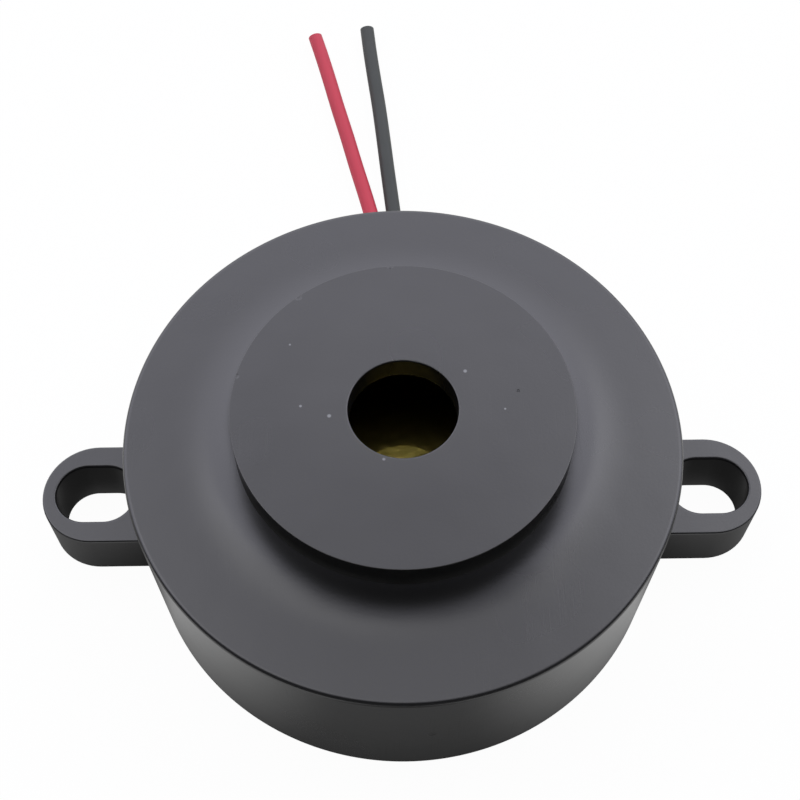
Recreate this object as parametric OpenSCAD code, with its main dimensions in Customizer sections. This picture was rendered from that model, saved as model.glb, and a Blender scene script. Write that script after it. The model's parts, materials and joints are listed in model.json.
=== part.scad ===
// Panel-mount piezo buzzer: a round moulded housing with two slotted ears, a raised
// disc with a sound port, a piezo sounder on a seat ring, a small drive board behind
// it, a back cover and two flying leads.
// Frame: origin on the body axis at the base plane, +X through the ears, +Z towards
// the sound port, leads towards +Y. Units: millimetres.

/* [Housing] */
// Outer diameter of the round body
body_d = 42; // [41:0.5:44]
// Height of the flat top face above the base
body_h = 14.7; // [13.5:0.1:18]
// Thickness of the outer wall
wall_t = 1.6; // [1.4:0.1:1.8]
// Thickness of the top plate
top_t = 2; // [1.5:0.1:2.5]
// Rounding of the rim between the wall and the top face
rim_round = 0.3; // [0.1:0.05:0.6]
// Rounding of the wall's lower edge
base_round = 0.2; // [0.1:0.05:0.4]

/* [Raised disc] */
// Diameter of the raised disc
disc_d = 25.4; // [22:0.2:28]
// Height of the raised disc above the top face
disc_h = 3.8; // [3:0.1:5]
// Width of the hollow flare round the foot of the raised disc
flare_w = 6; // [4:0.1:6.5]
// Height of the flare where it meets the raised disc
flare_h = 1.2; // [0.8:0.1:2]
// Rounding of the raised disc's upper edge
disc_round = 0.12; // [0.05:0.01:0.18]
// Thickness of the raised disc's wall and roof
disc_t = 2; // [1.5:0.1:2.5]
// Diameter of the sound port
port_d = 8.1; // [6:0.1:10]
// Rounding of the sound port's mouth
port_round = 0.12; // [0.05:0.01:0.2]

/* [Ears] */
// Distance between the centres of the two ear slots
slot_pitch = 50; // [50:0.5:54]
// Width of each ear
ear_w = 8.6; // [8:0.1:10]
// Thickness of each ear
ear_t = 5; // [3:0.1:7]
// Width of each slot
slot_w = 4.9; // [4.2:0.1:5.2]
// Length of each slot, end to end
slot_len = 6.4; // [5.5:0.1:6.6]
// Material left between the slot and the ear's tip
tip_wall = 1.1; // [0.9:0.1:3]
// Rounding of the ear's upper edge
ear_round = 0.25; // [0.2:0.05:0.6]
// Rounding of the slot's upper edge
slot_round = 0.3; // [0.1:0.05:0.3]

/* [Sounder] */
// Radial gap between the brass disc and the outer wall
brass_gap = 1.9; // [1.6:0.1:3]
// Thickness of the brass disc
brass_t = 0.3; // [0.2:0.05:0.4]
// Width of the bare brass round the piezo ceramic
brass_border = 5; // [4.5:0.1:7]
// Thickness of the piezo ceramic
ceramic_t = 0.25; // [0.2:0.05:0.4]
// Width of the seat ring that carries the brass disc
seat_w = 1.6; // [1.2:0.1:2]
// Thickness of the silicone bead between the seat ring and the brass disc
bead_t = 0.2; // [0.1:0.05:0.3]

/* [Back cover] */
// Thickness of the back cover
cover_t = 1.2; // [1:0.1:1.6]
// Depth of the back cover's face inside the base plane
cover_recess = 0.2; // [0.1:0.05:0.5]
// Width of the shoulder that the back cover seats on
shoulder_w = 0.5; // [0.3:0.05:0.6]
// Radial gap round the back cover
cover_gap = 0.1; // [0.05:0.05:0.15]
// Height of the pegs that hold the board off the cover
peg_h = 0.8; // [0.6:0.1:1.5]
// Diameter of the pegs
peg_d = 3; // [2:0.1:3.5]

/* [Drive board] */
// Thickness of the circuit board
board_t = 1; // [0.8:0.1:1.2]
// Radial gap round the circuit board
board_gap = 0.4; // [0.2:0.05:0.6]
// Free height between the board and the piezo ceramic
board_room = 2.85; // [2.6:0.05:3.5]
// Step of the grid that the board's parts stand on
part_step = 2.5; // [2.4:0.1:2.6]
// Length of a chip resistor
chip_l = 2; // [1.6:0.1:2.4]
// Width of a chip resistor
chip_w = 1.25; // [0.8:0.05:1.6]
// Height of a chip resistor
resistor_h = 0.5; // [0.4:0.05:0.7]
// Height of the supply capacitor
capacitor_h = 1.2; // [0.8:0.1:1.5]
// Diameter of the jumper wires up to the sounder
jumper_d = 0.5; // [0.3:0.05:0.6]
// Radius of a jumper's solder dome
dome_r = 0.8; // [0.6:0.05:0.9]

/* [Leads] */
// Outer diameter of each lead
lead_d = 1.4; // [1.2:0.05:1.4]
// Distance between the two leads where they leave the wall
lead_pitch = 1.5; // [1.5:0.05:1.6]
// Diameter of the stripped and tinned strands
core_d = 0.6; // [0.4:0.05:0.8]
// Length of the stripped strands
core_l = 1.7; // [1.4:0.1:2]
// Clearance between the leads and the notch in the wall
notch_gap = 0.1; // [0.05:0.05:0.2]

/* [Hidden] */
$fn = 96;
slack = 1; // overshoot of a cut past the face it opens
bite = 0.3; // depth by which one form of a moulding runs into the next
flare_steps = 16;

// Radii from the body axis
body_r = body_d / 2;
inner_r = body_r - wall_t;
shoulder_r = inner_r + shoulder_w;
cover_r = shoulder_r - cover_gap;
disc_r = disc_d / 2;
chamber_r = disc_r - disc_t;
brass_r = inner_r - brass_gap;
ceramic_r = brass_r - brass_border;
seat_ri = brass_r - seat_w;
bead_inset = 0.2;
board_r = inner_r - board_gap;
rib_clear = 0.2; // between the brass disc's edge and a rib
rib_ri = brass_r + rib_clear;
peg_at = seat_ri - bite;

// Heights above the base plane, stacked from the cover up to the raised disc
cover_top = cover_recess + cover_t;
board_z = cover_top + peg_h;
board_top = board_z + board_t;
ceramic_z = board_top + board_room;
brass_z = ceramic_z + ceramic_t;
brass_top = brass_z + brass_t;
seat_z = brass_top + bead_t;
plate_z = body_h - top_t;
crown_z = body_h + disc_h;

// Ribs that stop the board, and the cover pegs under them
RIB_ANGLES = [30, 150, 270];
rib_w = 1.4;

// Ears
ear_r = ear_w / 2;
slot_x = slot_pitch / 2;
slot_r = slot_w / 2;
slot_half = slot_len / 2 - slot_r;
ear_end_x = slot_x + slot_len / 2 + tip_wall - ear_r;
ear_root_r = (shoulder_r + body_r) / 2;

// Leads: notch in the wall, slot in the board's edge, solder points
notch_w = lead_pitch + lead_d + 2 * notch_gap;
notch_top = cover_top + lead_d + notch_gap;
tab_w = notch_w - 2 * cover_gap;
board_notch_w = 5.6;
board_notch_y = board_r - 4.1;
lead_dome_r = 0.9;
dome_back = 0.97; // from the end of the insulation to the dome's middle

// Jumpers: [x, y, direction of the loop, height of the sounder's face above the joint]
MAIN_JUMPER = [-2 * part_step, -part_step, 200, ceramic_z];
FEEDBACK_JUMPER = [3.5 * part_step, -part_step, 340, ceramic_z];
GROUND_JUMPER = [0, -(ceramic_r + seat_ri) / 2, 90, brass_z];
JUMPERS = [MAIN_JUMPER, FEEDBACK_JUMPER, GROUND_JUMPER];
jumper_gap = 0.1; // solder under the wire

// Routes along the middle of each lead, from the board to the cut end. The second
// number of each point is its distance outside the wall.
RED_ROUTE = [[-1.6, -7.4, 3.95], [-1.6, -6.6, 3.95], [-1.55, -5.8, 3.9], [-1.45, -5, 3.65],
             [-1.3, -4.2, 3.2], [-1.1, -3.4, 2.7], [-0.9, -2.6, 2.35], [-0.8, -1.8, 2.15],
             [-0.75, -1, 2.15], [-0.75, 0, 2.15], [-0.8, 1, 2.1], [-0.95, 2.2, 1.85],
             [-1.1, 3.4, 1.5], [-1.3, 4.6, 1.15], [-1.55, 5.8, 0.85], [-1.85, 7.2, 0.72],
             [-2.3, 9.4, 0.72], [-3, 12.4, 0.72], [-3.9, 16, 0.72], [-4.8, 19.8, 0.72],
             [-5.8, 23.8, 0.72], [-6.7, 27.6, 0.72], [-7.5, 30.8, 0.72], [-8.2, 33.4, 0.72]];
BLACK_ROUTE = [[1.6, -7.4, 3.95], [1.6, -6.6, 3.95], [1.55, -5.8, 3.9], [1.45, -5, 3.65],
               [1.3, -4.2, 3.2], [1.1, -3.4, 2.7], [0.9, -2.6, 2.35], [0.8, -1.8, 2.15],
               [0.75, -1, 2.15], [0.75, 0, 2.15], [0.7, 1, 2.1], [0.6, 2.2, 1.85],
               [0.45, 3.4, 1.5], [0.3, 4.6, 1.15], [0.15, 5.8, 0.85], [0, 7.2, 0.72],
               [-0.25, 9.4, 0.72], [-0.55, 12.4, 0.72], [-0.9, 16, 0.72],
               [-1.25, 19.8, 0.72], [-1.65, 23.8, 0.72], [-2.1, 27.6, 0.72],
               [-2.5, 31.2, 0.72], [-2.8, 34.4, 0.72]];
LEAD_SIDES = 8;

// ---------------------------------------------------------------- shared profiles

// The waste outside a rounded convex corner. The corner lies at the origin and the
// part fills the quadrant that points away from out = [1 or -1, 1 or -1].
module corner_waste(r, out) {
    mirror([out[0] < 0 ? 1 : 0, 0]) mirror([0, out[1] < 0 ? 1 : 0])
    difference() {
        translate([-r, -r]) square(r + slack);
        translate([-r, -r]) circle(r);
    }
}

// A half profile, from the middle line outwards, rounded along its upper edge.
module rounded_half(width, height, r) {
    difference() {
        square([width, height]);
        translate([width, height]) corner_waste(r, [1, 1]);
    }
}

// A half profile of a hole whose mouth at the height is rounded outwards by r.
module mouth_half(width, height, r) {
    translate([0, -slack]) square([width, height + 2 * slack]);
    difference() {
        translate([0, height - r]) square([width + r, r + slack]);
        translate([width + r, height - r]) circle(r);
    }
}

// A half profile carried along a straight bar from x0 to x1 and mirrored about y = 0.
module bar(x0, x1) {
    translate([x0, 0, 0]) rotate([90, 0, 90]) linear_extrude(x1 - x0) {
        children();
        mirror([1, 0]) children();
    }
}

// ---------------------------------------------------------------- housing

// Half section of the flare. Its height grows with the fourth power of the way in, so
// it leaves the top face without an edge and is steepest where it meets the disc.
module flare_half() {
    curve = [for (i = [0:flare_steps]) let (share = i / flare_steps)
        [disc_r + flare_w * (1 - sqrt(share)), body_h + flare_h * share ^ 2]];
    foot = [[disc_r - bite, body_h + flare_h], [disc_r - bite, body_h - bite],
            [disc_r + flare_w, body_h - bite]];
    polygon(concat(curve, foot));
}

// Half section of the round moulding: drum, flare, raised disc, chamber and seat ring.
module drum_section() {
    difference() {
        union() {
            difference() {
                square([body_r, body_h]);
                translate([body_r, body_h]) corner_waste(rim_round, [1, 1]);
                translate([body_r, 0]) corner_waste(base_round, [1, -1]);
            }
            translate([0, body_h - bite]) rounded_half(disc_r, disc_h + bite, disc_round);
            flare_half();
        }
        translate([0, -slack]) square([shoulder_r, cover_top + slack]);
        difference() {
            square([inner_r, plate_z]);
            translate([seat_ri, seat_z]) square([seat_w, plate_z - seat_z + slack]);
        }
        square([chamber_r, crown_z - disc_t]);
        mouth_half(port_d / 2, crown_z, port_round);
    }
}

// One rib between the seat ring and the wall, ending on the board.
module board_rib() {
    rotate([90, 0, 0]) linear_extrude(rib_w, center = true)
        polygon([[rib_ri, board_top], [inner_r + bite, board_top],
                 [inner_r + bite, plate_z + bite], [brass_r - bite, plate_z + bite],
                 [brass_r - bite, seat_z], [rib_ri, seat_z]]);
}

// One ear on the +X side: a stadium tongue with a stadium slot, rounded on top.
module ear() {
    difference() {
        union() {
            bar(0, ear_end_x) rounded_half(ear_r, ear_t, ear_round);
            translate([ear_end_x, 0, 0]) rotate_extrude() rounded_half(ear_r, ear_t, ear_round);
        }
        translate([0, 0, -slack]) cylinder(r = ear_root_r, h = ear_t + 2 * slack);
        translate([slot_x, 0, 0]) {
            bar(-slot_half, slot_half) mouth_half(slot_r, ear_t, slot_round);
            for (side = [-1, 1])
                translate([side * slot_half, 0, 0]) rotate_extrude()
                    mouth_half(slot_r, ear_t, slot_round);
        }
    }
}

module housing() {
    color("#28292b") difference() {
        union() {
            rotate_extrude() drum_section();
            ear();
            mirror([1, 0, 0]) ear();
            for (a = RIB_ANGLES) rotate(a) board_rib();
        }
        translate([-notch_w / 2, inner_r - slack, -slack])
            cube([notch_w, wall_t + 2 * slack, notch_top + slack]);
    }
}

// ---------------------------------------------------------------- back cover

// A disc on the shoulder, with pegs under the board and a tab that closes the notch.
module back_cover() {
    color("#26272a") {
        translate([0, 0, cover_recess]) cylinder(r = cover_r, h = cover_t);
        for (a = RIB_ANGLES) rotate(a) translate([peg_at, 0, cover_top - bite])
            cylinder(d = peg_d, h = peg_h + bite);
        intersection() {
            translate([-tab_w / 2, 0, cover_recess]) cube([tab_w, body_r, cover_t]);
            cylinder(r = body_r - cover_gap, h = cover_top);
        }
    }
}

// ---------------------------------------------------------------- sounder

module seat_bead() {
    color("#d9dad6") translate([0, 0, brass_top]) difference() {
        cylinder(r = brass_r - bead_inset, h = bead_t);
        translate([0, 0, -slack]) cylinder(r = seat_ri + bead_inset, h = bead_t + 2 * slack);
    }
}

module brass_disc() {
    color("#c9a74a") translate([0, 0, brass_z]) cylinder(r = brass_r, h = brass_t);
}

module piezo_ceramic() {
    color("#dcdcd4") translate([0, 0, ceramic_z]) cylinder(r = ceramic_r, h = ceramic_t);
}

// ---------------------------------------------------------------- drive board

// Round board with a notch in its rear edge where the leads come up to its top face.
module circuit_board() {
    color("#3c7a46") translate([0, 0, board_z]) difference() {
        cylinder(r = board_r, h = board_t);
        translate([-board_notch_w / 2, board_notch_y, -slack])
            cube([board_notch_w, board_r, board_t + 2 * slack]);
    }
}

// A chip part with raised end caps, centred on the origin and lying along X.
module chip(length, width, height, cap = 0.35, proud = 0.04) {
    translate([-length / 2 + cap / 2, -width / 2 + proud, 0])
        cube([length - cap, width - 2 * proud, height - proud]);
    for (x = [-length / 2, length / 2 - cap]) translate([x, -width / 2, 0])
        cube([cap, width, height]);
}

// A moulded package with bent legs. Each leg is [x, side], side being 1 or -1 along Y.
module leaded_package(length, width, height, legs, leg_w, reach) {
    leg_t = 0.15;
    lift = 0.1;
    taper = 0.12;
    waist = lift + (height - lift) / 2;
    edge = width / 2;
    knee = edge + reach / 2;
    body = [[-edge + taper, lift], [edge - taper, lift], [edge, waist],
            [edge - taper, height], [-edge + taper, height], [-edge, waist]];
    bent_leg = [[edge - taper, waist - leg_t / 2], [knee - leg_t, waist - leg_t / 2],
                [knee - leg_t, 0], [edge + reach, 0], [edge + reach, leg_t],
                [knee, leg_t], [knee, waist + leg_t / 2], [edge - taper, waist + leg_t / 2]];
    rotate([90, 0, 90]) translate([0, 0, -length / 2]) linear_extrude(length) polygon(body);
    for (leg = legs) translate([leg[0], 0, 0]) mirror([0, leg[1] < 0 ? 1 : 0, 0])
        rotate([90, 0, 90]) translate([0, 0, -leg_w / 2]) linear_extrude(leg_w)
            polygon(bent_leg);
}

// Places a part on the board's upper face, in steps of the parts grid.
module on_board(column, row, turn = 0) {
    translate([column * part_step, row * part_step, board_top]) rotate(turn) children();
}

module drive_transistor() {
    color("#26272a") on_board(1, -2)
        leaded_package(2.9, 1.3, 1.05, [[-0.95, -1], [0.95, -1], [0, 1]], 0.4, 0.55);
}

module input_diode() {
    color("#26272a") on_board(-3, 4, 90)
        leaded_package(1.6, 2.7, 1.1, [[0, -1], [0, 1]], 0.6, 0.5);
}

module supply_capacitor() {
    color("#b59a6d") on_board(3, 4, 90) chip(chip_l, chip_w, capacitor_h);
}

module base_resistor() {
    color("#202124") on_board(0, -0.5) chip(chip_l, chip_w, resistor_h);
}

module feedback_resistor() {
    color("#202124") on_board(3, 0.5) chip(chip_l, chip_w, resistor_h);
}

module load_resistor() {
    color("#202124") on_board(-1, -3, 90) chip(chip_l, chip_w, resistor_h);
}

// A half loop of wire from the board up to the sounder's underside.
module jumper(at) {
    low = board_top + jumper_gap + jumper_d / 2;
    high = at[3] - jumper_gap - jumper_d / 2;
    bend = (high - low) / 2;
    translate([at[0], at[1], low + bend]) rotate(at[2]) rotate([90, 0, 0]) rotate(-90)
        rotate_extrude(angle = 180) translate([bend, 0]) circle(d = jumper_d);
}

module main_jumper() {
    color("#b23b34") jumper(MAIN_JUMPER);
}

module feedback_jumper() {
    color("#3a62a8") jumper(FEEDBACK_JUMPER);
}

module ground_jumper() {
    color("#2a2b2e") jumper(GROUND_JUMPER);
}

// A solder dome of radius r that stands on the origin's plane, or hangs below it.
module dome(r, hanging = false) {
    mirror([0, 0, hanging ? 1 : 0]) intersection() {
        sphere(r);
        translate([-r, -r, 0]) cube(2 * r);
    }
}

// Domes on the sounder, one for each jumper.
module sounder_solder() {
    color("#c3c5c8") for (at = JUMPERS) difference() {
        translate([at[0], at[1], at[3]]) dome(dome_r, hanging = true);
        jumper(at);
    }
}

// Domes on the board, one for each jumper.
module board_solder() {
    color("#c3c5c8") for (at = JUMPERS) difference() {
        translate([at[0], at[1], board_top]) dome(dome_r);
        jumper(at);
    }
}

// ---------------------------------------------------------------- leads

// A point of a route in the part's own frame.
function placed(point) = point + [0, body_r, 0];

// The stripped strands of one lead, from the route's start towards the board's middle.
module strands(route) {
    translate(placed(route[0])) rotate([90, 0, 0]) cylinder(d = core_d, h = core_l);
}

module red_strands() {
    color("#c9c2b4") strands(RED_ROUTE);
}

module black_strands() {
    color("#c9c2b4") strands(BLACK_ROUTE);
}

// Domes that hold the stripped strands on the board.
module lead_solder() {
    color("#c3c5c8") for (route = [RED_ROUTE, BLACK_ROUTE]) difference() {
        translate([route[0][0], placed(route[0])[1] - dome_back, board_top]) dome(lead_dome_r);
        strands(route);
    }
}

// A tube of flat-sided rings swept along the route's own points.
module tube(route, d) {
    last = len(route) - 1;
    function unit(v) = v / norm(v);
    function along(i) = unit(route[min(i + 1, last)] - route[max(i - 1, 0)]);
    function ring(i) = let (t = along(i), s = unit(cross(t, [0, 0, 1])), u = cross(s, t))
        [for (k = [0:LEAD_SIDES - 1]) let (a = 360 * k / LEAD_SIDES)
            placed(route[i]) + d / 2 * (cos(a) * s + sin(a) * u)];
    points = [for (i = [0:last]) each ring(i)];
    sides = [for (i = [0:last - 1], k = [0:LEAD_SIDES - 1]) let (n = (k + 1) % LEAD_SIDES)
        [i * LEAD_SIDES + k, i * LEAD_SIDES + n, (i + 1) * LEAD_SIDES + n,
         (i + 1) * LEAD_SIDES + k]];
    ends = [[for (k = [LEAD_SIDES - 1:-1:0]) k],
            [for (k = [0:LEAD_SIDES - 1]) last * LEAD_SIDES + k]];
    polyhedron(points, concat(sides, ends));
}

module red_lead() {
    color("#c8526a") tube(RED_ROUTE, lead_d);
}

module black_lead() {
    color("#454848") tube(BLACK_ROUTE, lead_d);
}

housing();
back_cover();
seat_bead();
brass_disc();
piezo_ceramic();
circuit_board();
drive_transistor();
input_diode();
supply_capacitor();
base_resistor();
feedback_resistor();
load_resistor();
main_jumper();
feedback_jumper();
ground_jumper();
sounder_solder();
board_solder();
lead_solder();
red_strands();
black_strands();
red_lead();
black_lead();
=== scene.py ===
"""Looks of the panel-mount piezo buzzer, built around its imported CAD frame.

The moulded housing, the two flying leads and the strands at their cut ends are new
surfaces. Every other piece is its CAD node with the finish of its real material.
Sizes in the classes are millimetres, and each mesh is turned to metres when it is made.
"""

from __future__ import annotations

import json
import logging
import math
from collections.abc import Mapping, Sequence
from dataclasses import dataclass
from enum import Enum

import bpy
import numpy as np
from bpy.types import Camera, Light, Material, Node, NodeSocket, NodeTree, Object
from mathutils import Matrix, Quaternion, Vector


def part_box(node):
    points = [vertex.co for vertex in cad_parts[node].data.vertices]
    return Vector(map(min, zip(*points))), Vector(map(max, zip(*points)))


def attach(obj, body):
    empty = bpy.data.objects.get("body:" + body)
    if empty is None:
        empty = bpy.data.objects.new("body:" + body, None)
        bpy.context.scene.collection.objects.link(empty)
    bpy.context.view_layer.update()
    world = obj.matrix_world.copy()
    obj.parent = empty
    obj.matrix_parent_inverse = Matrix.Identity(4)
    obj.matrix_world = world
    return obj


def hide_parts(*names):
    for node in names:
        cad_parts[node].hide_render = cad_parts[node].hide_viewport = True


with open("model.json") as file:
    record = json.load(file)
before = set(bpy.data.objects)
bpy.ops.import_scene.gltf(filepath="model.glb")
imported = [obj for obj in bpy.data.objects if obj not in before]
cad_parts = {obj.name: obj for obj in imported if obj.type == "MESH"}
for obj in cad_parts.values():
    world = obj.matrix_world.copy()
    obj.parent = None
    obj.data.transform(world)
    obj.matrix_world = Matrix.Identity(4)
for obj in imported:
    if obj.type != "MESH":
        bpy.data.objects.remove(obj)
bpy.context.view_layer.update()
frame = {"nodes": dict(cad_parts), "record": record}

BODY = "root"
MM = 0.001
ROUND_STEPS = 8  # straight steps in a quarter round
HOLD = 0.05  # how far inside its ends a flat gets the points that keep it flat
LOG = logging.getLogger("piezo_buzzer")
Span = tuple[float, float]
Point = tuple[float, float, float]
Spot = tuple[float, float, float, float]


# ---------------------------------------------------------------- shared helpers


def srgb(code: str) -> tuple[float, float, float, float]:
    """Turns an sRGB hex colour into the linear colour of a socket.

    Args:
        code: the colour as "#rrggbb".

    Returns:
        Linear red, green and blue, and an alpha of 1.
    """
    parts = [int(code[at : at + 2], 16) / 255 for at in (1, 3, 5)]
    red, green, blue = (c / 12.92 if c <= 0.04045 else ((c + 0.055) / 1.055) ** 2.4 for c in parts)
    return red, green, blue, 1.0


def add_node(
    tree: NodeTree,
    kind: str,
    inputs: Mapping[int | str, object] | Sequence[object] = (),
    **settings: object,
) -> Node:
    """Adds a shader node with its settings and its links.

    Args:
        tree: the node tree it goes into.
        kind: the node's type name, without the "ShaderNode" that each one starts with.
        inputs: for each input, by name, by number or in order, a value, a socket, or a node
            whose first output is taken.
        **settings: the node's own properties.

    Returns:
        The new node.
    """
    made = tree.nodes.new(f"ShaderNode{kind}")
    for name, value in settings.items():
        setattr(made, name, value)
    for key, value in inputs.items() if isinstance(inputs, Mapping) else enumerate(inputs):
        source = value.outputs[0] if isinstance(value, Node) else value
        if isinstance(source, NodeSocket):
            tree.links.new(source, made.inputs[key])
        else:
            made.inputs[key].default_value = source
    return made


def millimetres(tree: NodeTree) -> Node:
    """Gives the place on the object in millimetres, so that a scale of 1 / x draws x mm."""
    place = {0: add_node(tree, "TexCoord").outputs["Object"], "Scale": 1 / MM}
    return add_node(tree, "VectorMath", place, operation="SCALE")


def quarter(centre: Span, radius: float, start: float) -> np.ndarray:
    """Draws a quarter round: centre + radius (cos a, sin a), for a over the 90 degrees from start.

    Args:
        centre: the round's middle.
        radius: its radius.
        start: its first angle, in degrees.

    Returns:
        The points, one row each.
    """
    angle = np.radians(start + np.linspace(0.0, 90.0, ROUND_STEPS + 1))
    return np.asarray(centre) + radius * np.column_stack([np.cos(angle), np.sin(angle)])


def held(outline: np.ndarray) -> np.ndarray:
    """Adds a point just inside each end of every long straight run of a closed outline.

    The points keep smooth shading on the rounds, so that the flats beside them stay flat.
    Formula: on the run from p to q with unit direction d, the points p + HOLD d and q - HOLD d.

    Args:
        outline: the outline's points, one row each.

    Returns:
        The outline with its new points.
    """
    ahead = np.roll(outline, -1, axis=0) - outline
    length = np.linalg.norm(ahead, axis=1)
    step = HOLD * ahead / length[:, None]
    trio = np.stack([outline, outline + step, outline + ahead - step], axis=1)
    long = length > 4 * HOLD
    return trio[np.stack([np.ones_like(long), long, long], axis=1)]


def wrapped_faces(rows: int, columns: int, closed: bool = True) -> list[list[int]]:
    """Joins a grid of points, whose columns wrap round, into quads.

    Formula: the quad at (i, j) joins (i, j), (i, j + 1), (i + 1, j + 1) and (i + 1, j).

    Args:
        rows: how many rows the grid has.
        columns: how many points each row has.
        closed: whether the last row joins the first. If not, a face caps each of the two.

    Returns:
        The faces as lists of point numbers.
    """
    i, j = np.meshgrid(np.arange(rows if closed else rows - 1), np.arange(columns), indexing="ij")
    below, right = (i + 1) % rows, (j + 1) % columns
    quads = [i * columns + j, i * columns + right, below * columns + right, below * columns + j]
    faces = np.stack(quads, axis=-1).reshape(-1, 4).tolist()
    if not closed:
        faces.append(list(range(columns))[::-1])
        faces.append(list(range((rows - 1) * columns, rows * columns)))
    return faces


def new_piece(name: str, points: np.ndarray, faces: list[list[int]]) -> Object:
    """Makes a mesh object at the origin from points in millimetres.

    Args:
        name: the piece's name.
        points: its points, in any grid shape that ends in x, y, z.
        faces: the faces as lists of point numbers.

    Returns:
        The new object, linked to the scene.
    """
    mesh = bpy.data.meshes.new(name)
    mesh.from_pydata(points.reshape(-1, 3) * MM, [], faces)
    mesh.update()
    piece = bpy.data.objects.new(name, mesh)
    bpy.context.scene.collection.objects.link(piece)
    return piece


def put(name: str, data: Camera | Light, at: Vector, turn: Quaternion) -> Object:
    """Puts the camera or a lamp in the scene.

    Args:
        name: its name.
        data: the camera or the lamp itself.
        at: its place, in metres.
        turn: the way it faces.

    Returns:
        The new object.
    """
    made = bpy.data.objects.new(name, data)
    made.location = at
    made.rotation_mode = "QUATERNION"
    made.rotation_quaternion = turn
    bpy.context.scene.collection.objects.link(made)
    return made


def smooth_by_angle(piece: Object, degrees: float) -> None:
    """Shades the piece smooth and keeps the edges that turn more than the angle sharp."""
    piece.data.shade_smooth()
    piece.data.set_sharp_from_angle(angle=math.radians(degrees))


class Cut(Enum):
    """What a second shape does to the first."""

    ADD = "UNION"
    TAKE_AWAY = "DIFFERENCE"


def combine(piece: Object, other: Object, cut: Cut) -> None:
    """Adds another closed shape to the piece, or cuts it away, and deletes the other.

    Args:
        piece: the piece that changes.
        other: the second shape.
        cut: whether it is added or taken away.
    """
    modifier = piece.modifiers.new("combine", "BOOLEAN")
    modifier.object = other
    modifier.operation = cut.value
    modifier.solver = "EXACT"
    depsgraph = bpy.context.evaluated_depsgraph_get()
    result = bpy.data.meshes.new_from_object(piece.evaluated_get(depsgraph))
    piece.modifiers.remove(modifier)
    old, piece.data = piece.data, result
    result.name = piece.name
    bpy.data.meshes.remove(old)
    bpy.data.meshes.remove(other.data)


# ---------------------------------------------------------------- finishes


@dataclass
class Look:
    """What a finish gives its shader.

    The share is how much of the second colour shows, where there are two. Each layer of the
    relief is a height, a strength and a depth in millimetres, and the lowest comes first.
    """

    colours: Sequence[str]
    relief: Sequence[tuple[Node | NodeSocket | float, float, float]]
    sockets: dict[str, object]
    share: Node | float = 0.0


@dataclass(frozen=True)
class Finish:
    """A real material with its surface. Sizes of patterns and depths are in millimetres."""

    name: str

    def material(self) -> Material:
        """Makes the material of this name, the first time that it is asked for.

        Returns:
            The material.
        """
        made = bpy.data.materials.get(self.name)
        if made is None:
            made = bpy.data.materials.new(self.name)
            made.use_nodes = True
            tree = made.node_tree
            tree.nodes.clear()
            add_node(tree, "OutputMaterial", {"Surface": self.shade(tree, millimetres(tree))})
        return made

    def look(self, tree: NodeTree, place: Node) -> Look:
        """Draws the finish's patterns and says what the shader is made of."""
        raise NotImplementedError

    def shade(self, tree: NodeTree, place: Node) -> Node:
        """Makes the shader: mixes the colours by their share and lays the relief's layers.

        Args:
            tree: the material's nodes.
            place: the place on the object, in millimetres.

        Returns:
            The shader.
        """
        look = self.look(tree, place)
        colours = [srgb(code) for code in look.colours]
        sockets = {"Base Color": colours[0], **look.sockets}
        if len(colours) > 1:
            tints = {0: look.share, 6: colours[0], 7: colours[1]}
            sockets["Base Color"] = add_node(tree, "Mix", tints, data_type="RGBA").outputs[2]
        for height, strength, depth in look.relief:
            bump = {"Height": height, "Strength": strength, "Distance": depth * MM}
            if "Normal" in sockets:
                bump["Normal"] = sockets["Normal"]
            sockets["Normal"] = add_node(tree, "Bump", bump)
        return add_node(tree, "BsdfPrincipled", sockets)


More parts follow.
